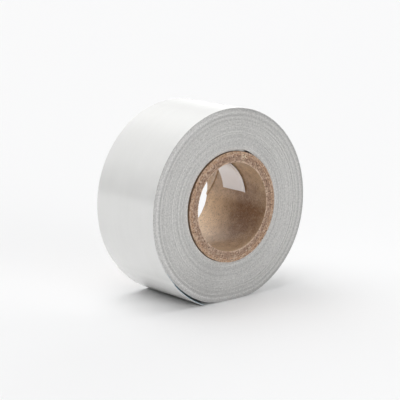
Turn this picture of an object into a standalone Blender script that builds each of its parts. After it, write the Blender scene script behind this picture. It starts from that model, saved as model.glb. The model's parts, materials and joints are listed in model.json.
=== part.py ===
"""A roll of reflective tape: film on a release liner, wound on a spiral paperboard core.

The roll stands on its rim, as it does on a shelf. Its axis lies along Y, the front end faces -Y, and the
origin is on the floor under the middle of the roll. Sizes are in metres. Angles are in degrees and count
anticlockwise from +X as the front shows them.
"""

import math

import bmesh
import bpy
from mathutils import Matrix, Vector

# Core: paper plies, each a strip wound in a helix, glued one on the other
TAPE_WIDTH = 0.0254
BORE_DIAMETER = 0.0254
CORE_WALL = 0.0031
CORE_PROUD = 0.0004  # how far the core stands out of the tape at each end
PLY_COUNT = 5
GLUE_LINE = 0.0001
SEAM_WIDTH = 0.0004
SEAM_LEAD = 0.0635  # length of tube in which a seam goes once round
SEAM_ANGLE = 64.0  # where the inner ply's seam crosses the middle of the tube
SEAM_STAGGER = 137.0  # turn from one ply's seam to the next

# Label stuck inside the bore
LABEL_WIDTH = 0.0103
LABEL_LENGTH = 0.0220
LABEL_THICKNESS = 0.00012
LABEL_OFFSET = 0.0004  # from the middle of the tube, towards the back
LABEL_ANGLE = 5.8  # its lower end

# Tape: film, its adhesive and the liner, wound with the liner inside
ROLL_DIAMETER = 0.0564  # over the turn that the tail leaves
FILM_THICKNESS = 0.00016
ADHESIVE_THICKNESS = 0.00005
LINER_THICKNESS = 0.00008
CORE_TO_TAPE = 0.0003  # first turn to the core
TURN_GAP = 0.00045  # least air between two turns
START_ANGLE = 70.0  # inner end of the tape
ROOT_ANGLE = 220.0  # where the tail leaves the roll
FLAT_DEPTH = 0.0005  # how far the roll is pressed flat where it stands

# Tail: the free end of the tape, whose film is split from its liner
TAIL_LENGTH = 0.0152
BONDED_LENGTH = 0.0050  # stretch of the tail where film and liner still hold together
FOLD_GAP = 0.0003  # slit at each of the two lines where the tape folds

# Facets
CORE_SEGMENTS = 48
TURN_SEGMENTS = 36
SEAM_STEPS = 16
LABEL_STEPS = 20
TAIL_STEPS = 8

BORE_RADIUS = BORE_DIAMETER / 2
CORE_RADIUS = BORE_RADIUS + CORE_WALL
CORE_LENGTH = TAPE_WIDTH + 2 * CORE_PROUD
PLY_THICKNESS = (CORE_WALL - (PLY_COUNT - 1) * GLUE_LINE) / PLY_COUNT
ROLL_RADIUS = ROLL_DIAMETER / 2
LAMINATE = LINER_THICKNESS + ADHESIVE_THICKNESS + FILM_THICKNESS
FILM_OFFSET = LINER_THICKNESS + ADHESIVE_THICKNESS  # liner's inner face to the film's

# The liner's inner face spirals out from FIRST_RADIUS to LAST_RADIUS in as many turns as there is room for
FIRST_RADIUS = CORE_RADIUS + CORE_TO_TAPE
LAST_RADIUS = ROLL_RADIUS - LAMINATE
PART_TURN = (ROOT_ANGLE - START_ANGLE) % 360 / 360
FULL_TURNS = math.floor((LAST_RADIUS - FIRST_RADIUS) / (LAMINATE + TURN_GAP) - PART_TURN)
TURNS = FULL_TURNS + PART_TURN
PITCH = (LAST_RADIUS - FIRST_RADIUS) / TURNS

# The outermost turn passes the floor this far round from the inner end, and carries the roll there
FLOOR_ANGLE = 270.0
FLOOR_TURN = math.floor(TURNS - (FLOOR_ANGLE - START_ANGLE) / 360) + (FLOOR_ANGLE - START_ANGLE) / 360
FLOOR_RADIUS = FIRST_RADIUS + PITCH * FLOOR_TURN
AXIS_HEIGHT = FLOOR_RADIUS + LAMINATE - FLAT_DEPTH

KRAFT = (0.36, 0.24, 0.15)
KRAFT_LIGHT = (0.50, 0.38, 0.27)
LABEL_PAPER = (0.80, 0.78, 0.79)
SILVER_FILM = (0.72, 0.72, 0.70)
BLUE_LINER = (0.42, 0.50, 0.58)


def clear_scene():
    for obj in list(bpy.data.objects):
        bpy.data.objects.remove(obj, do_unlink=True)


def material(name, color, roughness, metallic=0.0):
    made = bpy.data.materials.new(name)
    made.use_nodes = True
    shader = made.node_tree.nodes["Principled BSDF"]
    shader.inputs["Base Color"].default_value = (*color, 1.0)
    shader.inputs["Roughness"].default_value = roughness
    shader.inputs["Metallic"].default_value = metallic
    made.diffuse_color = (*color, 1.0)
    return made


def empty(name, place, parent=None):
    made = bpy.data.objects.new(name, None)
    bpy.context.collection.objects.link(made)
    made.parent = parent
    made.location = place
    made.empty_display_size = TAPE_WIDTH / 4
    return made


def add_piece(name, bm, look, pivot, pivot_place=(0.0, 0.0, 0.0)):
    """An object from a mesh drawn about the roll's axis, hung on an empty that stands at pivot_place."""
    bmesh.ops.translate(bm, verts=bm.verts[:], vec=-Vector(pivot_place))
    mesh = bpy.data.meshes.new(name)
    bm.to_mesh(mesh)
    bm.free()
    mesh.materials.append(look)
    mesh.shade_smooth()
    mesh.set_sharp_from_angle(angle=math.radians(30))
    made = bpy.data.objects.new(name, mesh)
    bpy.context.collection.objects.link(made)
    made.parent = pivot
    return made


def thicken(piece, thickness, offset=1.0):
    """Gives a sheet its thickness: at 1 on the side that its faces point to, at 0 half on each side."""
    solidify = piece.modifiers.new("thickness", "SOLIDIFY")
    solidify.thickness = thickness
    solidify.offset = offset
    solidify.use_even_offset = True


def polar(radius, angle):
    return Vector((radius * math.cos(math.radians(angle)), 0.0, radius * math.sin(math.radians(angle))))


# Core

def tube(inner, outer, length):
    """A paper tube round Y: its wall's section, spun."""
    bm = bmesh.new()
    corners = [(inner, -length / 2), (outer, -length / 2), (outer, length / 2), (inner, length / 2)]
    verts = [bm.verts.new((radius, y, 0.0)) for radius, y in corners]
    section = [bm.edges.new((verts[i - 1], verts[i])) for i in range(len(verts))]
    bmesh.ops.spin(
        bm, geom=verts + section, cent=(0, 0, 0), axis=(0, 1, 0), angle=math.tau,
        steps=CORE_SEGMENTS, use_merge=True,
    )
    bmesh.ops.recalc_face_normals(bm, faces=bm.faces[:])
    return bm


def seam_blade(inner, outer, angle):
    """The sheet that a ply's helical seam is cut with: an edge across the wall, pushed along Y and turned."""
    reach = PLY_THICKNESS / 2
    step = CORE_LENGTH / SEAM_STEPS
    turn = Matrix.Rotation(math.tau * step / SEAM_LEAD, 3, "Y")
    start_y = -CORE_LENGTH / 2 - step
    start_angle = angle - 360 * start_y / SEAM_LEAD
    bm = bmesh.new()
    ends = [bm.verts.new(polar(radius, start_angle) + Vector((0, start_y, 0)))
            for radius in (inner - reach, outer + reach)]
    for _ in range(SEAM_STEPS + 2):
        grown = bmesh.ops.extrude_edge_only(bm, edges=[bm.edges.get(ends) or bm.edges.new(ends)])["geom"]
        ends = [item for item in grown if isinstance(item, bmesh.types.BMVert)]
        bmesh.ops.rotate(bm, verts=ends, cent=(0, 0, 0), matrix=turn)
        bmesh.ops.translate(bm, verts=ends, vec=(0, step, 0))
    return bm


def build_ply(name, number, look, axis):
    inner = BORE_RADIUS + number * (PLY_THICKNESS + GLUE_LINE)
    outer = inner + PLY_THICKNESS
    ply = add_piece(name, tube(inner, outer, CORE_LENGTH), look, axis)
    blade = add_piece(name + "_seam", seam_blade(inner, outer, SEAM_ANGLE + number * SEAM_STAGGER), look, axis)
    thicken(blade, SEAM_WIDTH, 0.0)
    blade.hide_render = True
    blade.display_type = "WIRE"
    cut = ply.modifiers.new("seam", "BOOLEAN")
    cut.operation = "DIFFERENCE"
    cut.object = blade


def build_core(axis):
    kraft = material("kraft_board", KRAFT, 0.85)
    kraft_light = material("kraft_liner_board", KRAFT_LIGHT, 0.85)
    last = PLY_COUNT - 1
    for number in range(PLY_COUNT):
        name = {0: "core_inner_ply", last: "core_outer_ply"}.get(number, f"core_body_ply_{number}")
        build_ply(name, number, kraft_light if number in (0, last) else kraft, axis)


def build_label(axis):
    """A paper label on the bore's wall: its lower end, swept up round the axis."""
    radius = BORE_RADIUS - GLUE_LINE - LABEL_THICKNESS
    bm = bmesh.new()
    start = polar(radius, LABEL_ANGLE)
    ends = [bm.verts.new(start + Vector((0, LABEL_OFFSET + side * LABEL_WIDTH / 2, 0))) for side in (1, -1)]
    bmesh.ops.spin(
        bm, geom=ends + [bm.edges.new(ends)], cent=(0, 0, 0), axis=(0, -1, 0), angle=LABEL_LENGTH / radius,
        steps=LABEL_STEPS,
    )
    label = add_piece("core_label", bm, material("label_paper", LABEL_PAPER, 0.6), axis)
    thicken(label, LABEL_THICKNESS)


# Tape

def ribbon(points):
    """A strip as wide as the tape: an edge across it, extruded from point to point."""
    bm = bmesh.new()
    ends = [bm.verts.new(points[0] + Vector((0, side * TAPE_WIDTH / 2, 0))) for side in (1, -1)]
    edge = bm.edges.new(ends)
    for point in points[1:]:
        grown = bmesh.ops.extrude_edge_only(bm, edges=[edge])["geom"]
        ends = [item for item in grown if isinstance(item, bmesh.types.BMVert)]
        for end in ends:
            end.co.x, end.co.z = point.x, point.z
        edge = bm.edges.get(ends)
    return bm


def winding_points(offset):
    """Points along the wound tape, at this height over the liner's inner face.

    Where the roll stands, each turn is pressed flat, most at the outside and not at all on the core.
    """
    count = round(TURNS * TURN_SEGMENTS)
    points = []
    for number in range(count + 1):
        turned = TURNS * number / count
        radius = FIRST_RADIUS + PITCH * turned
        point = polar(radius + offset, START_ANGLE + 360 * turned)
        pressed = FLAT_DEPTH * (radius - FIRST_RADIUS) / (FLOOR_RADIUS - FIRST_RADIUS)
        point.z = max(point.z, pressed - radius - offset)
        points.append(point)
    return points


def tail_points(offset, start, end):
    """Points along the tail from one length to another, counted from the line where it leaves the roll."""
    lengths = [start + (end - start) * number / TAIL_STEPS for number in range(TAIL_STEPS + 1)]
    return [polar(LAST_RADIUS + offset, ROOT_ANGLE + math.degrees(length / ROLL_RADIUS)) for length in lengths]


def fold_place(length):
    """The line on the film's outer face about which the tape folds, at a length along the tail."""
    return polar(ROLL_RADIUS, ROOT_ANGLE + math.degrees(length / ROLL_RADIUS))


def least_turn_gap():
    """The least distance from the film to the liner of the turn outside it, taken on their points."""
    film = winding_points(LAMINATE)
    liner = winding_points(0.0)
    return min((over - under).length for under, over in zip(film, liner[TURN_SEGMENTS:]))


def build_winding(axis, film_look, liner_look):
    liner = add_piece("wound_liner", ribbon(winding_points(0.0)), liner_look, axis)
    thicken(liner, LINER_THICKNESS)
    film = add_piece("wound_film", ribbon(winding_points(FILM_OFFSET)), film_look, axis)
    thicken(film, FILM_THICKNESS)


def build_tail(axis, film_look, liner_look):
    root = fold_place(FOLD_GAP / 2)
    split = fold_place(BONDED_LENGTH + FOLD_GAP / 2)
    tail_fold = empty("tail_fold", root, axis)
    film_fold = empty("film_fold", split - root, tail_fold)
    pieces = (
        ("tail_liner", 0.0, FOLD_GAP, TAIL_LENGTH, LINER_THICKNESS, liner_look, tail_fold, root),
        ("tail_film_root", FILM_OFFSET, FOLD_GAP, BONDED_LENGTH, FILM_THICKNESS, film_look, tail_fold, root),
        ("tail_film_tab", FILM_OFFSET, BONDED_LENGTH + FOLD_GAP, TAIL_LENGTH, FILM_THICKNESS, film_look,
         film_fold, split),
    )
    for name, offset, start, end, thickness, look, pivot, place in pieces:
        piece = add_piece(name, ribbon(tail_points(offset, start, end)), look, pivot, place)
        thicken(piece, thickness)
    for name, place in (("tail fold", root), ("film fold", split)):
        print(f"{name} axis at x {place.x:.6f}, z {AXIS_HEIGHT + place.z:.6f} m")


def main():
    clear_scene()
    axis = empty("roll_axis", (0, 0, AXIS_HEIGHT))
    film_look = material("reflective_film", SILVER_FILM, 0.35)
    liner_look = material("release_liner", BLUE_LINER, 0.45)
    build_core(axis)
    build_label(axis)
    build_winding(axis, film_look, liner_look)
    build_tail(axis, film_look, liner_look)
    print(f"roll axis {AXIS_HEIGHT:.6f} m above the floor, {TURNS:.3f} turns at {PITCH * 1000:.3f} mm")
    print(f"least gap between turns {least_turn_gap() * 1000:.3f} mm")


main()
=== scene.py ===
# %% [markdown]
# # A roll of reflective tape
# A roll of tape looks like a plain ring, but it is really one long strip: a silver film on a release
# liner, wound about forty times round a paper tube. This lesson dresses a CAD model of such a roll. The
# CAD solids are loaded as a fixed frame, and each step below builds a finer piece in the place of one of
# them: the plies of the core, the label in its bore, the wound turns and the loose tail.

# %% Load the frame
import json
import math

import bmesh
import bpy
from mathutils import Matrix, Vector, noise
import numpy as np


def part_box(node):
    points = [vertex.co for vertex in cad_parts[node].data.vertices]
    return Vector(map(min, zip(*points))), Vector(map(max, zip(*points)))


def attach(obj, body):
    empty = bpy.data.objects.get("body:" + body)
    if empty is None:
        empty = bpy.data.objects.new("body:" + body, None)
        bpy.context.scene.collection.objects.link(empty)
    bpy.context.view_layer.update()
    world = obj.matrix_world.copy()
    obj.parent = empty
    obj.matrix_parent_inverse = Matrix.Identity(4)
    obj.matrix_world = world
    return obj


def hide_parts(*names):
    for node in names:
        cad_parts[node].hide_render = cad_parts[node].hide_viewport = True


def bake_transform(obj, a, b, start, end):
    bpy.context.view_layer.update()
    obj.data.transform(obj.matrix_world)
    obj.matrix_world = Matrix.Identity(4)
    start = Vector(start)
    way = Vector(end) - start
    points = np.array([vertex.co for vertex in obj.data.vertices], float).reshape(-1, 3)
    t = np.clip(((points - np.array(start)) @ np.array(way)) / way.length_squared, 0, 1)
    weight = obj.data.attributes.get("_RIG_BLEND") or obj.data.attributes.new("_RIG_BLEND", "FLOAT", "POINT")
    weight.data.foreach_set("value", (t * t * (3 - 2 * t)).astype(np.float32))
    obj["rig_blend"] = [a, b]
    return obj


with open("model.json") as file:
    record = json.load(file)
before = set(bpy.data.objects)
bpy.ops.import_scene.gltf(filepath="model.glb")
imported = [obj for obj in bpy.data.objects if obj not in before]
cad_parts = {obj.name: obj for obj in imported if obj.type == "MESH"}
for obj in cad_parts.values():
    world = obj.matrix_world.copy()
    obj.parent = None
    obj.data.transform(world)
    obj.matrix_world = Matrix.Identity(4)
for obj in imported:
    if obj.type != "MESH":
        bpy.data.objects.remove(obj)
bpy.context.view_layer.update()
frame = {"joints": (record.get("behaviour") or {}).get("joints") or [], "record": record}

MM = 0.001
scene = bpy.context.scene
scene.view_settings.view_transform = "Standard"

# %% [markdown]
# ## Sizes
# The frame already knows how big the roll is, so the main sizes are read from it and not typed again.
# Angles are in degrees and count anticlockwise from +X, as the front of the roll shows them. The tape's
# axis lies along Y.

# %% Sizes from the frame
mounts = {mount["name"]: Vector(mount["pos_m"]) for mount in frame["record"]["mounts"]}
folds = {joint["name"]: Vector(joint["pos_m"]) for joint in frame["joints"]}
tape_low, tape_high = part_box("wound_film")
core_low, core_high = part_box("core_outer_ply")
AXIS = Vector((0, 0, mounts["front_end_face"].z))
ANTICLOCKWISE = Vector((0, -1, 0))
TAPE_WIDTH = tape_high.y - tape_low.y
CORE_LENGTH = core_high.y - core_low.y
CORE_RADIUS = (core_high.x - core_low.x) / 2


def polar(radius, angle, y=0.0):
    """A point at this distance and angle from the roll's axis."""
    turn = math.radians(angle)
    return AXIS + Vector((radius * math.cos(turn), y, radius * math.sin(turn)))


def smooth(low, high, value):
    """0 below low, 1 above high, and an easy slope between them."""
    share = min(1.0, max(0.0, (value - low) / (high - low)))
    return share * share * (3 - 2 * share)


print(f"axis {AXIS.z / MM:.2f} mm up, tape {TAPE_WIDTH / MM:.2f} mm wide")
print(f"core {CORE_LENGTH / MM:.2f} mm long and {CORE_RADIUS / MM:.2f} mm in radius")

# %% [markdown]
# ## Camera
# The picture was taken with a long lens from the left of the roll's front end and a little above it. A
# long lens keeps the front end nearly a true ellipse. The camera could be parented to an empty that is
# turned, but two angles and a distance are easier to read. It aims a hair to the left of the axis and
# below it, because the roll isn't quite centred.

# %% Camera
CAMERA_TURN = math.radians(-40.06)
CAMERA_RISE = math.radians(11.76)
CAMERA_DISTANCE = 420.1 * MM
CAMERA_LENS = 131.72
CAMERA_NEAREST = 42 * MM
AIM_LEFT = 0.83 * MM
AIM_DOWN = 0.07 * MM


def place_camera():
    back = Vector((
        math.sin(CAMERA_TURN) * math.cos(CAMERA_RISE),
        -math.cos(CAMERA_TURN) * math.cos(CAMERA_RISE),
        math.sin(CAMERA_RISE),
    ))
    right = Vector((0, 0, 1)).cross(back).normalized()
    camera = bpy.data.objects.new("camera", bpy.data.cameras.new("camera"))
    scene.collection.objects.link(camera)
    camera.data.lens = CAMERA_LENS
    camera.data.clip_start = CAMERA_NEAREST
    camera.location = AXIS + back * CAMERA_DISTANCE
    aim = AXIS - right * AIM_LEFT - Vector((0, 0, AIM_DOWN))
    camera.rotation_euler = (aim - camera.location).to_track_quat("-Z", "Y").to_euler()
    scene.camera = camera
    return camera


camera = place_camera()
print("camera at, mm:", [round(value / MM, 1) for value in camera.location])

# %% [markdown]
# ## Sums on sockets
# A procedural finish is mostly arithmetic: a noise times a number, one minus a mask. Placing a Math node
# for each of these hides the idea, so a small class wraps a socket and lets Python's own operators add
# the nodes. Every other node comes from one method, which takes the node's type, its settings and the
# values or links of its sockets.

# %% Wire: a socket that adds and multiplies
class Wire:
    """A socket of a node tree. Wire(tree) alone has no socket, and only starts a chain of nodes."""

    def __init__(self, tree, socket=None):
        self.tree = tree
        self.socket = socket

    def node(self, kind, settings, sockets, output=0):
        made = self.tree.nodes.new("ShaderNode" + kind)
        for name, value in settings.items():
            if name == "stops":
                set_stops(made.color_ramp, value)
            else:
                setattr(made, name, value)
        for name, value in sockets.items():
            if isinstance(value, Wire):
                self.tree.links.new(value.socket, made.inputs[name])
            else:
                made.inputs[name].default_value = value
        return Wire(self.tree, made.outputs[output])

    def math(self, operation, first, second=0.0):
        return self.node("Math", {"operation": operation}, {0: first, 1: second})

    def __add__(self, other):
        return self.math("ADD", self, other)

    def __sub__(self, other):
        return self.math("SUBTRACT", self, other)

    def __rsub__(self, other):
        return self.math("SUBTRACT", other, self)

    def __mul__(self, other):
        return self.math("MULTIPLY", self, other)

    def __truediv__(self, other):
        return self.math("DIVIDE", self, other)

    def __rtruediv__(self, other):
        return self.math("DIVIDE", other, self)

    __radd__ = __add__
    __rmul__ = __mul__


def set_stops(ramp, stops):
    """Gives a colour ramp these stops, each a position and a colour."""
    while len(ramp.elements) < len(stops):
        ramp.elements.new(1.0)
    for element, (position, color) in zip(ramp.elements, stops):
        element.position = position
        element.color = (*color, 1.0)


print("wires can be added, subtracted, multiplied and divided")

# %% [markdown]
# ## Helpers for finishes
# All the finishes start alike: a Principled shader, and a place on the roll that patterns are drawn at.
# That place is in Object coordinates, moved so that zero lies on the roll's axis. The pieces sit at the
# origin with their place in the mesh, so one pattern runs on from piece to piece.

# %% Start a finish
def new_finish(name, roughness, specular=0.5):
    """A new material, its shader, and a wire to start from."""
    made = bpy.data.materials.new(name)
    made.use_nodes = True
    shader = made.node_tree.nodes["Principled BSDF"]
    shader.inputs["Roughness"].default_value = roughness
    shader.inputs["Specular IOR Level"].default_value = specular
    return made, shader, Wire(made.node_tree)


def feed(shader, socket, wire):
    wire.tree.links.new(wire.socket, shader.inputs[socket])


def raise_surface(shader, height, depth):
    """Bumps the shaded surface by a wire that runs from 0 to 1, over a depth in metres."""
    feed(shader, "Normal", height.node("Bump", {}, {"Height": height, "Distance": depth, "Strength": 1.0}))


print("finishes can be started")

# %% Patterns
SOFT_DETAIL = 2.0
FINE_DETAIL = 3.0
FINEST_DETAIL = 4.0
NOISE_MIDDLE = 0.5
NOISE_LOW = 0.3
NOISE_HIGH = 0.7


def roll_place(start):
    """Object coordinates, measured from the middle of the roll."""
    place = start.node("TexCoord", {}, {}, "Object")
    return start.node("Mapping", {}, {"Vector": place, "Location": -AXIS})


def grain(place, size, detail=SOFT_DETAIL, stretch=(1, 1, 1)):
    """Noise whose marks are about this size, in metres. A stretch under 1 draws the marks out."""
    scaled = place.node("VectorMath", {"operation": "MULTIPLY"}, {0: place, 1: stretch})
    return place.node("TexNoise", {}, {"Vector": scaled, "Scale": 1 / size, "Detail": detail})


def contrast(wire, low=NOISE_LOW, high=NOISE_HIGH):
    """The wire stretched so that low becomes 0 and high 1, and cut off there."""
    return wire.node("MapRange", {"clamp": True}, {"Value": wire, "From Min": low, "From Max": high})


print(f"most of a noise lies between {NOISE_LOW} and {NOISE_HIGH}")

# %% Colours
MIX_FACTOR, MIX_FIRST, MIX_SECOND = 0, 6, 7
MIX_RESULT = 2


def opaque(color):
    """Three numbers with an alpha of 1, or a wire as it is."""
    return color if isinstance(color, Wire) else (*color, 1.0)


def mix_colors(factor, first, second):
    """From the first colour at 0 to the second at 1."""
    sockets = {MIX_FACTOR: factor, MIX_FIRST: opaque(first), MIX_SECOND: opaque(second)}
    return factor.node("Mix", {"data_type": "RGBA"}, sockets, MIX_RESULT)


def dim_color(wire, color):
    """A wire's colour times another colour."""
    settings = {"data_type": "RGBA", "blend_type": "MULTIPLY"}
    sockets = {MIX_FACTOR: 1.0, MIX_FIRST: wire, MIX_SECOND: opaque(color)}
    return wire.node("Mix", settings, sockets, MIX_RESULT)


print("colours can be mixed and dimmed")

# %% [markdown]
# ## Studio
# The roll stands on a white table among large soft boxes. Area lamps could do it, but lamps are near, so
# the table would be brighter under them. Soft boxes in the world are endlessly far: only the direction
# sets the strength, the whole table is lit alike, and its colour alone makes the pale background. The
# roll's own shadow stays on it. Each box is a smooth bump over the directions, given by its turn from
# the front, its height in degrees and its strength.

# %% Soft boxes in the world
BOX_FOCUS = 20.0
SOFT_BOXES = (
    (0, 90, 3.15),
    (180, 58, 1.5),
    (240, 58, 2.5),
    (300, 58, 1.4),
    (80, 30, 1.6),
    (160, 30, 1.15),
    (200, 20, 0.8),
    (320, 10, 0.6),
    (0, 10, 4.2),
    (120, 10, 3.7),
)
WHITE = (1.0, 1.0, 1.0)


def soft_box(toward, turn, height, strength):
    """Light that is strongest in one direction and fades evenly around it."""
    turn, height = math.radians(turn), math.radians(height)
    level = math.cos(height)
    middle = (math.sin(turn) * level, -math.cos(turn) * level, math.sin(height))
    facing = toward.node("VectorMath", {"operation": "DOT_PRODUCT"}, {0: toward, 1: middle}, "Value")
    return toward.math("EXPONENT", (facing - 1) * BOX_FOCUS) * strength


def light_studio():
    world = bpy.data.worlds.new("studio")
    world.use_nodes = True
    scene.world = world
    toward = Wire(world.node_tree).node("TexCoord", {}, {}, "Generated")
    light = sum(soft_box(toward, *box) for box in SOFT_BOXES)
    background = world.node_tree.nodes["Background"]
    background.inputs["Color"].default_value = opaque(WHITE)
    feed(background, "Strength", light)


light_studio()
print("soft boxes:", len(SOFT_BOXES))

# %% White table
FLOOR_REACH = 4.0
FLOOR_COLOR = (0.902, 0.903, 0.907)


def lay_floor():
    bm = bmesh.new()
    bmesh.ops.create_grid(bm, x_segments=1, y_segments=1, size=FLOOR_REACH)
    mesh = bpy.data.meshes.new("floor")
    bm.to_mesh(mesh)
    bm.free()
    floor = bpy.data.objects.new("floor", mesh)
    scene.collection.objects.link(floor)
    made, shader, _ = new_finish("white_table", roughness=1.0, specular=0.0)
    shader.inputs["Base Color"].default_value = opaque(FLOOR_COLOR)
    mesh.materials.append(made)


lay_floor()
print(f"floor at z = 0, {FLOOR_REACH} m to each side")

# %% [markdown]
# ## Pieces
# Every piece below ends the same way: its bmesh becomes an object, gets its finishes, rides on a body of
# the frame and stands for a CAD solid. One function does that, so no step forgets it.

# %% Put a piece on the roll
SHARP = math.radians(35)


def add_piece(name, bm, finishes, node, body=None):
    """An object at the origin that stands for a CAD node. Without a body it is left for a blend."""
    mesh = bpy.data.meshes.new(name)
    bm.to_mesh(mesh)
    bm.free()
    for finish in finishes:
        mesh.materials.append(finish)
    mesh.shade_smooth()
    mesh.set_sharp_from_angle(angle=SHARP)
    piece = bpy.data.objects.new(name, mesh)
    scene.collection.objects.link(piece)
    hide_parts(node)
    if body:
        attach(piece, body)
    mesh.calc_loop_triangles()
    print(f"{name}: {len(mesh.loop_triangles)} triangles")
    return piece


# %% [markdown]
# ## Kraft board
# The core is brown recycled paper. Its surface is a felt of short fibres: soft blotches a few
# millimetres wide, and over them fine pale fibres and dark specks. Three noises give that, and the
# fibres also raise the surface a little. One function makes all three boards, and is handed another
# function for the colour under the fibres:
#
# - The face in the bore is pressed smooth, so it shines where light grazes it. Its colour has painted
#   shade on the right of the bore near the front, and painted light low near its back end.
# - The faces between the plies and the outside are darker and duller, and show only at the edges. Their
#   near-black brown is painted shade for the narrow gap between the core and the tape.
# - The cut ends are rough: pale right at the bore, dark plies after it and tan ones near the tape,
#   darker again at the very outside as painted shade from the gap next to the tape, with one small torn
#   spot. Painting each ply in one colour would draw hard rings, so the colour runs over the distance from
#   the axis, and the blotches push its limits about.

# %% Fibres and specks
BLOTCH_SIZE = 2.4 * MM
FIBRE_STRETCH = (0.6, 1.0, 0.6)
FIBRE_SPAN = (0.46, 0.7)
FIBRE_DEPTH = 0.03 * MM
FIBRE_COLOR = (0.62, 0.47, 0.36)
SPECK_SIZE = 0.5 * MM
SPECK_SPAN = (0.51, 0.72)
SPECK_COLOR = (0.10, 0.06, 0.04)


def kraft_finish(name, color_of, roughness, specular, fibre_size, mark_share):
    """Paper whose board colour comes from color_of, given the place and the blotches."""
    made, shader, start = new_finish(name, roughness, specular)
    place = roll_place(start)
    blotch = grain(place, BLOTCH_SIZE, FINEST_DETAIL)
    fibre = grain(place, fibre_size, FINEST_DETAIL, FIBRE_STRETCH)
    speck = grain(place, SPECK_SIZE)
    board = color_of(place, blotch)
    fibred = mix_colors(contrast(fibre, *FIBRE_SPAN) * mark_share, board, FIBRE_COLOR)
    specked = mix_colors(contrast(speck, *SPECK_SPAN) * mark_share, fibred, SPECK_COLOR)
    feed(shader, "Base Color", specked)
    raise_surface(shader, fibre, FIBRE_DEPTH)
    return made


print(f"blotches {BLOTCH_SIZE / MM:.1f} mm wide, specks {SPECK_SIZE / MM:.1f} mm")

# %% Pressed faces
BORE_RADIUS = 12.7 * MM
# The dark spot is painted shade on the right of the bore near the front; the pale spot is painted light low
# near the back end.
PAINTED_SHADE_SPOT = polar(BORE_RADIUS, -26, -6 * MM)
PAINTED_SHADE_SIZE = 14 * MM
PAINTED_SHADE_COLOR = (0.25, 0.13, 0.058)
PAINTED_LIGHT_SPOT = polar(BORE_RADIUS, -56, 10 * MM)
PAINTED_LIGHT_SIZE = 15 * MM
PAINTED_LIGHT_COLOR = (0.90, 0.68, 0.46)
PAINTED_SPOT_SHARE = 0.52
BLOTCH_SHARE = 0.6
BORE_SPAN = (-0.4, 0.4)
# These near-black browns are painted shade for the gap between the core's outside and the tape.
OUTSIDE_SHADE_DARK = (0.11, 0.06, 0.03)
OUTSIDE_SHADE_LIGHT = (0.17, 0.10, 0.055)


def away_from(spot, place):
    """Distance of the place from a spot on the roll."""
    return place.node("VectorMath", {"operation": "DISTANCE"}, {0: place, 1: spot - AXIS}, "Value")


def pressed_color(place, blotch):
    """Brown board with soft painted shade on the right of the bore, and painted light low at its back."""
    shade_patch = contrast(away_from(PAINTED_SHADE_SPOT, place), PAINTED_SHADE_SIZE, 0)
    light_patch = contrast(away_from(PAINTED_LIGHT_SPOT, place), PAINTED_LIGHT_SIZE, 0)
    tone = (blotch - NOISE_MIDDLE) * BLOTCH_SHARE + (light_patch - shade_patch) * PAINTED_SPOT_SHARE
    return mix_colors(contrast(tone, *BORE_SPAN), PAINTED_SHADE_COLOR, PAINTED_LIGHT_COLOR)


def shaded_outside_color(_, blotch):
    return mix_colors(contrast(blotch), OUTSIDE_SHADE_DARK, OUTSIDE_SHADE_LIGHT)


pressed_board = kraft_finish(
    "kraft_pressed", pressed_color, roughness=0.3, specular=0.5, fibre_size=0.3 * MM, mark_share=0.45,
)
shaded_outside_board = kraft_finish(
    "kraft_outside_shaded", shaded_outside_color, roughness=0.7, specular=0.3, fibre_size=0.3 * MM, mark_share=0.2,
)
print("faces:", pressed_board.name, shaded_outside_board.name)

# %% Cut ends
# The last stop darkens the outside of the cut ends: painted shade from the gap next to the tape.
CUT_TONES_AND_GAP_SHADE = (
    (0.0, (0.62, 0.465, 0.355)),
    (0.06, (0.565, 0.41, 0.31)),
    (0.13, (0.365, 0.24, 0.175)),
    (0.5, (0.345, 0.225, 0.16)),
    (0.68, (0.48, 0.31, 0.21)),
    (0.95, (0.46, 0.30, 0.20)),
    (1.0, (0.30, 0.19, 0.125)),
)
LIMIT_SWAY = 0.35
TORN_SPOT = polar(14.4 * MM, 74, -CORE_LENGTH / 2)
TORN_SIZE = 1.1 * MM
TORN_GRAIN = TORN_SIZE / 3
TORN_FADE = 0.25
TORN_SPAN = (0.34, 0.40)
TORN_COLOR = (0.80, 0.66, 0.47)


def cut_color(place, blotch):
    """Colour by the share of the core's wall that lies between the place and the bore."""
    off_axis = place.node("VectorMath", {"operation": "MULTIPLY"}, {0: place, 1: (1, 0, 1)})
    distance = place.node("VectorMath", {"operation": "LENGTH"}, {0: off_axis}, "Value")
    share = (distance - BORE_RADIUS) / (CORE_RADIUS - BORE_RADIUS)
    swayed = share + (blotch - NOISE_MIDDLE) * LIMIT_SWAY
    board = place.node("ValToRGB", {"stops": CUT_TONES_AND_GAP_SHADE}, {"Fac": swayed})
    torn = grain(place, TORN_GRAIN) - away_from(TORN_SPOT, place) / TORN_SIZE * TORN_FADE
    return mix_colors(contrast(torn, *TORN_SPAN), board, TORN_COLOR)


cut_board = kraft_finish(
    "kraft_cut", cut_color, roughness=0.9, specular=0.2, fibre_size=0.4 * MM, mark_share=1.0,
)
print("cut ends:", cut_board.name)

# %% [markdown]
# ## Plies of the core
# A paper core is made from strips of board, each wound in a helix and glued on the last. The strip's two
# edges meet in a slit that climbs round the tube. A plain tube with a painted line would miss that slit,
# so each ply starts as its slit: a row of points that turns as it goes along Y. Spun not quite all the
# way round, the row leaves the slit open. The cut ends of the board are crushed and fuzzy, so their
# faces are divided and pushed about a little. Near the back end, one edge of the innermost strip has
# come away at its slit and stands up as a thin lip.

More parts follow.
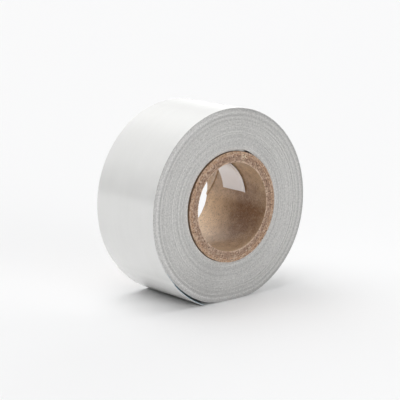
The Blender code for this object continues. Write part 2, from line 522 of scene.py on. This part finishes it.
# %% Plies and their slits
PLY_NAMES = ("core_inner_ply", "core_body_ply_1", "core_body_ply_2", "core_body_ply_3", "core_outer_ply")
PLY_GAP = 0.03 * MM
PLY_STEP = (CORE_RADIUS - BORE_RADIUS + PLY_GAP) / len(PLY_NAMES)
SEAM_LEAD = 63.5 * MM
SEAM_ANGLE = 64.0
SEAM_STAGGER = 137.0
SEAM_WIDTH = 0.2 * MM
print(f"{len(PLY_NAMES)} plies, one every {PLY_STEP / MM:.3f} mm")

# %% Crush the cut ends
TOUCH = 0.001 * MM
RIM_ROUNDING = 0.06 * MM
ROUNDING_POWER = 4
RIM_CRUSH = 0.09 * MM
RIM_GRAIN = 0.5 * MM
ROUGH_FALL, ROUGH_STEP, ROUGH_LAYERS = 1.0, 2.0, 3


def rough(place):
    """Noise around 0, with finer steps on its coarse ones."""
    return noise.fractal(place, ROUGH_FALL, ROUGH_STEP, ROUGH_LAYERS)


def arm_to(place):
    """The way from the roll's axis straight out to a place."""
    return Vector((place.x, 0, place.z - AXIS.z))


def on_end(vert):
    return abs(abs(vert.co.y) - CORE_LENGTH / 2) < TOUCH


def crossing_end(edge, least):
    """True for an edge that runs across the cut end of a ply, from its inner face to its outer one."""
    radii = [arm_to(vert.co).length for vert in edge.verts]
    return all(on_end(vert) for vert in edge.verts) and abs(radii[0] - radii[1]) > least


def crush_end(bm, inner, outer, recess):
    """Rounds the edges of a ply's cut ends and pushes their faces in and out."""
    middle, half = (inner + outer) / 2, (outer - inner) / 2
    for vert in bm.verts:
        if not on_end(vert):
            continue
        off_middle = abs(arm_to(vert.co).length - middle) / half
        rounding = RIM_ROUNDING * off_middle ** ROUNDING_POWER
        crush = RIM_CRUSH * rough(vert.co / RIM_GRAIN)
        vert.co.y -= math.copysign(recess + rounding + crush, vert.co.y)


print(f"cut ends rounded by {RIM_ROUNDING / MM:.2f} mm and crushed by {RIM_CRUSH / MM:.2f} mm")

# %% Lift the lip
LIP_LIFT = 0.33 * MM
LIP_REACH = 2.0 * MM
LIP_START = 5.7 * MM
LIP_FULL = 7.0 * MM


def lift_lip(bm, seam):
    """Lifts the edge of the innermost strip towards the axis along its slit, near the back end."""
    for vert in bm.verts:
        arm = arm_to(vert.co)
        past = (math.degrees(math.atan2(arm.z, arm.x)) - seam + 360 * vert.co.y / SEAM_LEAD) % 360
        loose = 1 - smooth(0, LIP_REACH, math.radians(past) * arm.length)
        vert.co -= arm.normalized() * LIP_LIFT * loose * smooth(LIP_START, LIP_FULL, vert.co.y)


print(f"the lip stands {LIP_LIFT / MM:.2f} mm off the bore")

# %% Wind the core
PLY_STEPS = 360
PLY_ROWS = 40
RIM_CUTS = 4
PLY_RECESS = (0.0, 0.09 * MM, 0.08 * MM, 0.04 * MM, 0.0)


def wind_ply(number, recess):
    inner = BORE_RADIUS + number * PLY_STEP
    outer = inner + PLY_STEP - PLY_GAP
    seam = SEAM_ANGLE + number * SEAM_STAGGER
    bm = bmesh.new()
    ys = [CORE_LENGTH * (row / PLY_ROWS - 0.5) for row in range(PLY_ROWS + 1)]
    slit = [bm.verts.new(polar(outer, seam - 360 * y / SEAM_LEAD, y)) for y in ys]
    edges = [bm.edges.new(pair) for pair in zip(slit, slit[1:])]
    sweep = math.tau - SEAM_WIDTH / outer
    bmesh.ops.spin(
        bm, geom=slit + edges, cent=AXIS, axis=ANTICLOCKWISE, angle=sweep, steps=PLY_STEPS,
    )
    bmesh.ops.solidify(bm, geom=bm.faces[:], thickness=outer - inner)
    across = [edge for edge in bm.edges if crossing_end(edge, (outer - inner) / 2)]
    bmesh.ops.subdivide_edges(bm, edges=across, cuts=RIM_CUTS, use_grid_fill=True)
    for face in bm.faces:
        face.material_index = int(all(on_end(vert) for vert in face.verts))
    crush_end(bm, inner, outer, recess)
    if number == 0:
        lift_lip(bm, seam)
    return bm


for number, node in enumerate(PLY_NAMES):
    face_board = shaded_outside_board if number else pressed_board
    ply = wind_ply(number, PLY_RECESS[number])
    add_piece(node.replace("core_", "") + "_board", ply, [face_board, cut_board], node, "roll")

# %% [markdown]
# ## Label in the bore
# A small white paper label is stuck inside the core. It is bare here. It could be a cut-out of the
# bore's wall, but real labels don't hold all over: the edge towards the front has come away and casts a
# thin shadow. So it is a sheet of its own, spun up the wall from its lower end, with its front edge
# lifted towards the axis. Its paper is glazed, so a clear coat lies over soft clouds and fine fibres.

# %% Label paper
LABEL_ROUGHNESS = 0.25
GLAZE_ROUGHNESS = 0.15
GLAZE_IOR = 1.9
LABEL_FIBRE_SIZE = 0.3 * MM
LABEL_FIBRE_DEPTH = 0.01 * MM
LABEL_FIBRE_SHARE = 0.4
LABEL_CLOUD_SIZE = 3 * MM
LABEL_DARK = (0.93, 0.90, 0.92)
LABEL_LIGHT = (0.97, 0.945, 0.96)


def paper_finish():
    made, shader, start = new_finish("bare_label", LABEL_ROUGHNESS)
    shader.inputs["Coat Weight"].default_value = 1.0
    shader.inputs["Coat Roughness"].default_value = GLAZE_ROUGHNESS
    shader.inputs["Coat IOR"].default_value = GLAZE_IOR
    place = roll_place(start)
    fibre = grain(place, LABEL_FIBRE_SIZE, FINE_DETAIL)
    cloud = grain(place, LABEL_CLOUD_SIZE)
    tone = fibre * LABEL_FIBRE_SHARE + cloud * (1 - LABEL_FIBRE_SHARE)
    feed(shader, "Base Color", mix_colors(tone, LABEL_DARK, LABEL_LIGHT))
    raise_surface(shader, fibre, LABEL_FIBRE_DEPTH)
    return made


label_paper = paper_finish()
print("label finish:", label_paper.name)

# %% Label
LABEL_WIDTH = 10.0 * MM
LABEL_OFFSET = 0.55 * MM
LABEL_ANGLE = 5.8
LABEL_SWEEP = math.radians(100)
LABEL_THICKNESS = 0.1 * MM
LABEL_SEAT = 0.05 * MM
LABEL_LIFT = 0.32 * MM
LABEL_LIFTED_WIDTH = 2.2 * MM
LABEL_ROWS = 12
LABEL_STEPS = 48


def stick_label():
    front = LABEL_OFFSET - LABEL_WIDTH / 2
    bm = bmesh.new()
    ys = [front + LABEL_WIDTH * row / LABEL_ROWS for row in range(LABEL_ROWS + 1)]
    end = [bm.verts.new(polar(BORE_RADIUS, LABEL_ANGLE, y)) for y in ys]
    edges = [bm.edges.new(pair) for pair in zip(end, end[1:])]
    bmesh.ops.spin(
        bm, geom=end + edges, cent=AXIS, axis=ANTICLOCKWISE, angle=LABEL_SWEEP, steps=LABEL_STEPS,
    )
    for vert in bm.verts:
        loose = 1 - smooth(0, LABEL_LIFTED_WIDTH, vert.co.y - front)
        inward = LABEL_SEAT + LABEL_LIFT * loose * loose
        vert.co -= arm_to(vert.co).normalized() * inward
    bmesh.ops.solidify(bm, geom=bm.faces[:], thickness=LABEL_THICKNESS)
    bmesh.ops.recalc_face_normals(bm, faces=bm.faces[:])
    return bm


add_piece("bore_label", stick_label(), [label_paper], "core_label", "roll")

# %% [markdown]
# ## The wound strip
# The strip starts near the top of the core, runs round it forty-one times, and parts from the roll low
# on the left. Its turns are numbered from 0 at the start, with parts of a turn in between, so one number
# says where along the strip a point lies. The finishes and the shape below both use that number, so its
# sizes come first.

# %% Sizes of the strip
TURN_ATTRIBUTE = "turn"
START_ANGLE = 73.0
ROOT_ANGLE = 220.0
FULL_TURNS = 41
ROOT_TURN = FULL_TURNS + (ROOT_ANGLE - START_ANGLE) / 360
LINER_THICKNESS = 0.075 * MM
FILM_FLOOR = 0.08 * MM
LAMINATE = 0.255 * MM
CORE_GAP = 0.1 * MM
FIRST_RADIUS = CORE_RADIUS + CORE_GAP
ROOT_RADIUS = 28.0 * MM
PITCH = (ROOT_RADIUS - LAMINATE - FIRST_RADIUS) / ROOT_TURN
print(f"{ROOT_TURN:.2f} turns, one every {PITCH / MM:.3f} mm")

# %% [markdown]
# ## Silver film
# Reflective film is silver-grey from the tiny glass beads in it. In plain daylight it looks like satin:
# pale, faintly speckled, with a clear gloss that mirrors the bright table where it is seen at a slant. A
# metal shader would mirror the room everywhere, so this is a pale glossy plastic with fine beads as bump
# and speckle, and soft streaks that run along the strip.

# %% Film face
BEAD_SIZE = 0.12 * MM
BEAD_DEPTH = 0.004 * MM
STREAK_SIZE = 1.6 * MM
STREAK_STRETCH = (0.08, 1.0, 0.08)
CLOUD_SIZE = 7 * MM
BEAD_SHARE, STREAK_SHARE, CLOUD_SHARE = 0.5, 0.25, 0.25
FILM_DARK = (0.845, 0.845, 0.83)
FILM_LIGHT = (0.905, 0.905, 0.89)
FILM_METALLIC = 0.1
FILM_ROUGHNESS = 0.13
BEAD_ROUGHNESS = 0.08
STREAK_ROUGHNESS = 0.06


def film_finish():
    made, shader, start = new_finish("satin_film", FILM_ROUGHNESS)
    shader.inputs["Metallic"].default_value = FILM_METALLIC
    place = roll_place(start)
    beads = grain(place, BEAD_SIZE)
    streaks = grain(place, STREAK_SIZE, FINE_DETAIL, STREAK_STRETCH)
    clouds = grain(place, CLOUD_SIZE)
    tone = contrast(beads * BEAD_SHARE + streaks * STREAK_SHARE + clouds * CLOUD_SHARE)
    feed(shader, "Base Color", mix_colors(tone, FILM_DARK, FILM_LIGHT))
    feed(shader, "Roughness", FILM_ROUGHNESS + beads * BEAD_ROUGHNESS + streaks * STREAK_ROUGHNESS)
    raise_surface(shader, beads, BEAD_DEPTH)
    return made


satin_film = film_finish()
print("film finish:", satin_film.name)

# %% [markdown]
# ## Cut edges
# The end of the roll shows only the cut edges of the strip, forty lines side by side. They are greyer
# than the face, and no two turns look quite alike. A picture of rings could be wrapped on, but it
# wouldn't follow the tail when that is lifted. So each point of the strip carries its turn number as an
# attribute. A noise along that number gives every turn its own tone, and a ramp over it makes the first
# turns paler, the last two dark as painted shade at the rim of the pack, and the loose tail pale. The
# turns near the rim are painted paler on the left side of the roll, as painted light, and the edges low
# on the roll are darker, as painted shade.

# %% Film edge
EDGE_ROUGHNESS = 0.55
EDGE_SPECULAR = 0.3
# The stops from 0.945 on darken the last two turns: painted shade at the rim of the pack.
EDGE_TONES_AND_RIM_SHADE = (
    (0.0, (0.95, 0.90, 0.84)),
    (0.05, (0.86, 0.835, 0.80)),
    (0.08, (0.75, 0.74, 0.71)),
    (0.72, (0.75, 0.74, 0.71)),
    (0.78, (0.69, 0.68, 0.655)),
    (0.945, (0.69, 0.68, 0.655)),
    (0.957, (0.56, 0.55, 0.535)),
    (0.9985, (0.56, 0.55, 0.535)),
    (1.0, (0.88, 0.875, 0.86)),
)
# Painted light: the turns near the rim are paler on the left side of the roll, where light falls on them.
LIT_SIDE_FROM, LIT_SIDE_TO = 8 * MM, -14 * MM
LIT_SIDE_BEGIN = (0.84, 0.87)
LIT_SIDE_END = (0.985, 0.97)
LIT_SIDE_COLOR = (0.86, 0.85, 0.825)
# Painted shade: the cut edges low on the roll are darker, where less light reaches them.
LOW_SHADE_FROM, LOW_SHADE_TO = -12 * MM, -30 * MM
LOW_SHADE_SHARE = 0.12
RING_RATE = 0.42
RING_SHARE = 0.4
SPECKLE_SIZE = 0.5 * MM
SPECKLE_DEPTH = 0.01 * MM
SHADE_SPAN = (0.36, 0.64)
SHADE_COLOR = (0.54, 0.54, 0.545)


def edge_finish():
    made, shader, start = new_finish("film_cut_edge", EDGE_ROUGHNESS, EDGE_SPECULAR)
    place = roll_place(start)
    turn = start.node("Attribute", {"attribute_name": TURN_ATTRIBUTE}, {}, "Fac")
    share = turn / ROOT_TURN
    ramp = start.node("ValToRGB", {"stops": EDGE_TONES_AND_RIM_SHADE}, {"Fac": share})
    side = contrast(start.node("SeparateXYZ", {}, {0: place}, "X"), LIT_SIDE_FROM, LIT_SIDE_TO)
    lit_side = contrast(share, *LIT_SIDE_BEGIN) * contrast(share, *LIT_SIDE_END) * side
    tone = mix_colors(lit_side, ramp, LIT_SIDE_COLOR)
    ring_sockets = {"W": turn, "Scale": RING_RATE, "Detail": FINE_DETAIL}
    rings = start.node("TexNoise", {"noise_dimensions": "1D"}, ring_sockets)
    speckle = grain(place, SPECKLE_SIZE, FINE_DETAIL)
    low_shade = contrast(start.node("SeparateXYZ", {}, {0: place}, "Z"), LOW_SHADE_FROM, LOW_SHADE_TO)
    light = rings * RING_SHARE + speckle * (1 - RING_SHARE) - low_shade * LOW_SHADE_SHARE
    shaded = mix_colors(contrast(light, *SHADE_SPAN), dim_color(tone, SHADE_COLOR), tone)
    feed(shader, "Base Color", shaded)
    raise_surface(shader, speckle, SPECKLE_DEPTH)
    return made


film_edge = edge_finish()
print("edge finish:", film_edge.name)

# %% [markdown]
# ## Liner and adhesive
# The liner is a thin bluish sheet with a slick coat that the adhesive doesn't hold to. Its edges in the
# pack look grey, because light shines through so thin a strip. The back of the film is coated with a
# clear, tacky adhesive. Thin sheets could be made see-through, but the layers lie so close that little
# would show. All three are plain sheets with faint marks, so one function makes them.

# %% Liner and adhesive finishes
LINER_ROUGHNESS = 0.35
WEAVE_SIZE = 0.5 * MM
WEAVE_DEPTH = 0.004 * MM
ADHESIVE_ROUGHNESS = 0.18
RIPPLE_SIZE = 1.1 * MM
RIPPLE_DEPTH = 0.02 * MM


def sheet_finish(name, roughness, mark_size, mark_depth, dark, light):
    """A sheet with faint marks, which run from a dark colour to a light one and raise its surface."""
    made, shader, start = new_finish(name, roughness)
    marks = grain(roll_place(start), mark_size, FINE_DETAIL)
    feed(shader, "Base Color", mix_colors(contrast(marks), dark, light))
    raise_surface(shader, marks, mark_depth)
    return made


blue_liner = sheet_finish(
    "blue_liner", LINER_ROUGHNESS, WEAVE_SIZE, WEAVE_DEPTH,
    dark=(0.18, 0.34, 0.44), light=(0.24, 0.41, 0.51),
)
liner_edge = sheet_finish(
    "liner_cut_edge", LINER_ROUGHNESS, WEAVE_SIZE, WEAVE_DEPTH,
    dark=(0.55, 0.55, 0.55), light=(0.64, 0.64, 0.64),
)
adhesive = sheet_finish(
    "tacky_adhesive", ADHESIVE_ROUGHNESS, RIPPLE_SIZE, RIPPLE_DEPTH,
    dark=(0.42, 0.42, 0.41), light=(0.5, 0.5, 0.49),
)
print("sheets:", blue_liner.name, liner_edge.name, adhesive.name)

# %% [markdown]
# ## Winding
# Forty turns of one strip could be drawn as forty rings, but then the strip would have no ends and the
# rings no thread. It is wound as on the machine instead: the strip's cut section is spun through all its
# turns, and then each step is pushed out to its own distance from the axis. The first turn lies on the
# core until it meets its own start, and bridges it, which leaves a small dark notch. Each turn after it
# climbs more evenly. The turns wander sideways, and the whole pack sits a little back on its core. Where
# the roll stands the turns are pressed together, beside that they bulge out, and the tail parts from
# the roll.

# %% How the turns climb and wander
CLIMB = 14.0
EVEN_TURNS = 16
WANDER = 0.1 * MM
WANDER_RATE = 0.55
CORE_SLIP = 0.04 * MM
CORE_SLIP_TURNS = 2.5


def climbed(turn):
    """How many strip thicknesses lie under the strip: in steps near the core, and evenly further out."""
    whole, part = divmod(turn, 1)
    stepped = max(0.0, 1 - turn / EVEN_TURNS)
    return whole + part + stepped * (smooth(1 - CLIMB / 360, 1, part) - part)


def wander(turn):
    """How far a turn has slipped along the axis. The first turns have slipped back along the core."""
    slip = CORE_SLIP * (1 - smooth(0, CORE_SLIP_TURNS, turn))
    return slip + WANDER * rough(Vector((turn * WANDER_RATE, 0, 0)))


print(f"turns wander up to {max(wander(turn) for turn in range(FULL_TURNS)) / MM:.3f} mm to the back")

# %% Notch at the start, and the parting tail
NOTCH_LIFT = 0.22 * MM
NOTCH_REACH = 18.0
NOTCH_TURNS = 11
TIP_ANGLE = 249.8
TIP_TURN = ROOT_TURN + (TIP_ANGLE - ROOT_ANGLE) / 360
TAIL_LIFT = 0.8 * MM
TAIL_PARTING = 0.2
TAIL_PARTED = 0.15


def apart(angle, middle):
    """Degrees between two angles, from 0 to 180."""
    return abs((angle - middle + 180) % 360 - 180)


def bridged(turn, angle):
    """How far the turns stand out where they bridge the start of the strip: less in each turn."""
    if turn < 1 - NOTCH_REACH / 360:
        return 0.0
    off = apart(angle, START_ANGLE - CLIMB / 2)
    return NOTCH_LIFT * max(0.0, 1 - (turn - 1) / NOTCH_TURNS) * (1 - smooth(0, NOTCH_REACH, off))


def parted(turn):
    """How far the tail stands off the roll: it parts from it quickly, and then opens slowly."""
    share = max(0.0, (turn - ROOT_TURN) / (TIP_TURN - ROOT_TURN))
    return TAIL_LIFT * (TAIL_PARTING * smooth(0, TAIL_PARTED, share) + (1 - TAIL_PARTING) * share)


print(f"notch {NOTCH_LIFT / MM:.2f} mm high, tail {TAIL_LIFT / MM:.2f} mm off the roll at its tip")

# %% Pressed on the floor
FLOOR_ANGLE = 270.0
FLOOR_TURN = FULL_TURNS - 1 + (FLOOR_ANGLE - START_ANGLE) / 360
PRESS = FIRST_RADIUS + PITCH * FLOOR_TURN + LAMINATE - AXIS.z
PRESS_REACH = 23.0
BULGE = 0.2 * MM
BULGE_REACH = 100.0


def pressed(turn, angle):
    """How far a turn is pushed in by the roll's weight: most at the outside, right over the floor.
    Beside the floor the turns bulge out instead, and the tail with them."""
    off = apart(angle, FLOOR_ANGLE)
    share = turn / FLOOR_TURN
    if off < PRESS_REACH:
        return PRESS * share * (1 - (off / PRESS_REACH) ** 2) ** 2 if turn < ROOT_TURN else 0.0
    beside = min(1.0, (off - PRESS_REACH) / (BULGE_REACH - PRESS_REACH))
    return -BULGE * share * math.sin(math.pi * beside) ** 2


print(f"pressed {PRESS / MM:.2f} mm at the floor, bulging {BULGE / MM:.2f} mm beside it")

# %% Where a point of the strip lies
PACK_BACK = 0.25 * MM


def strip_point(turn, height, side):
    """A point this high over the liner's inner face, at the front edge (side -1) or the back edge (1)."""
    angle = START_ANGLE + 360 * turn
    lift = parted(turn) + bridged(turn, angle) - pressed(turn, angle)
    radius = FIRST_RADIUS + PITCH * climbed(turn) + height + lift
    return polar(radius, angle, side * TAPE_WIDTH / 2 + PACK_BACK + wander(turn))


print("the strip starts at, mm:", [round(value / MM, 2) for value in strip_point(0, 0, -1)])

# %% Spin a stretch of strip
STEPS_PER_TURN = 120
LEAST_STEPS = 48


def spin_sections(bm, starts, span, corners):
    """Spins a cut section from each start through the same span of turns, and lays each step in place."""
    known = len(bm.verts)
    steps = max(LEAST_STEPS, round(span * STEPS_PER_TURN))
    geom = []
    for start in starts:
        section = [bm.verts.new(strip_point(start, height, side)) for height, side in corners]
        geom += section
        geom += [bm.edges.new((section[number - 1], section[number])) for number in range(len(section))]
    bmesh.ops.spin(bm, geom=geom, cent=AXIS, axis=ANTICLOCKWISE, angle=math.tau * span, steps=steps)
    turn_layer = bm.verts.layers.float[TURN_ATTRIBUTE]
    for number, vert in enumerate(bm.verts[known:]):
        step, place = divmod(number, len(starts) * len(corners))
        turn = starts[place // len(corners)] + span * step / steps
        vert.co = strip_point(turn, *corners[place % len(corners)])
        vert[turn_layer] = turn


print(f"{STEPS_PER_TURN} steps in a turn, about {round(ROOT_TURN * STEPS_PER_TURN)} in the whole strip")

# %% Wind the film and the liner
EDGE_SLOT = 1
BACK_SLOT = 2
SIDEWAYS = 0.7
OVERLAP = 3 * MM
TAIL_START = ROOT_TURN - OVERLAP / (math.tau * ROOT_RADIUS)


def wind_strip(first, last, low, high, with_back=False):
    """One closed stretch of the strip between two heights, from one turn to another."""
    corners = ((low, -1), (high, -1), (high, 1), (low, 1))
    whole = int(last - first)
    bm = bmesh.new()
    bm.verts.layers.float.new(TURN_ATTRIBUTE)
    if whole:
        spin_sections(bm, [first + turn for turn in range(whole)], 1, corners)
    spin_sections(bm, [first + whole], last - first - whole, corners)
    bmesh.ops.remove_doubles(bm, verts=bm.verts[:], dist=TOUCH)
    bmesh.ops.edgeloop_fill(bm, edges=[edge for edge in bm.edges if edge.is_boundary])
    bmesh.ops.recalc_face_normals(bm, faces=bm.faces[:])
    for face in bm.faces:
        outward = face.calc_center_median() - AXIS
        if abs(face.normal.y) > SIDEWAYS:
            face.material_index = EDGE_SLOT
        elif with_back and face.normal.dot(outward) < 0:
            face.material_index = BACK_SLOT
    return bm


add_piece(
    "film_turns", wind_strip(0, TAIL_START, FILM_FLOOR, LAMINATE), [satin_film, film_edge],
    "wound_film", "roll",
)
add_piece(
    "liner_turns", wind_strip(0, TAIL_START, 0, LINER_THICKNESS), [liner_edge, liner_edge],
    "wound_liner", "roll",
)

# %% [markdown]
# ## Loose tail
# The end of the tape hangs off the roll, and the film's own end can be peeled off its liner. Rigid
# pieces would leave a crack at each fold, so the tail is three strips that bend: film and liner from the
# roll to the lifted tail, and the film's end from the tail to the peeled tab. Each bend starts just
# before its fold line.

# %% Bend zones
BEND_BEFORE = 0.3 * MM
BEND_AFTER = 1.5 * MM
SPLIT_MARGIN = 1.5 * MM


def bend_zone(fold):
    """Start and end of the bend at a fold line, along the strip."""
    outward = (folds[fold] - AXIS).normalized()
    along = ANTICLOCKWISE.cross(outward)
    return folds[fold] - along * BEND_BEFORE, folds[fold] + along * BEND_AFTER


def turn_at(place, margin):
    """The turn number of a point near the rim, this far before it along the strip."""
    angle = math.degrees(math.atan2(place.z - AXIS.z, place.x)) % 360
    return ROOT_TURN + (angle - ROOT_ANGLE) / 360 - margin / (math.tau * ROOT_RADIUS)


split_turn = turn_at(folds["film_peel"], SPLIT_MARGIN)
print(f"the film is parted {(split_turn - ROOT_TURN) * math.tau * ROOT_RADIUS / MM:.2f} mm past the root")

# %% Tail strips
tail_film = add_piece(
    "tail_film_bend", wind_strip(TAIL_START, split_turn, FILM_FLOOR, LAMINATE, True),
    [satin_film, film_edge, adhesive], "tail_film_root",
)
tail_tab = add_piece(
    "tail_film_end", wind_strip(split_turn, TIP_TURN, FILM_FLOOR, LAMINATE, True),
    [satin_film, film_edge, adhesive], "tail_film_tab",
)
tail_liner = add_piece(
    "tail_liner_bend", wind_strip(TAIL_START, TIP_TURN, 0, LINER_THICKNESS),
    [blue_liner, blue_liner], "tail_liner",
)
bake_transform(tail_film, "roll", "tail", *bend_zone("tail_lift"))
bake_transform(tail_liner, "roll", "tail", *bend_zone("tail_lift"))
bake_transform(tail_tab, "tail", "film_tab", *bend_zone("film_peel"))
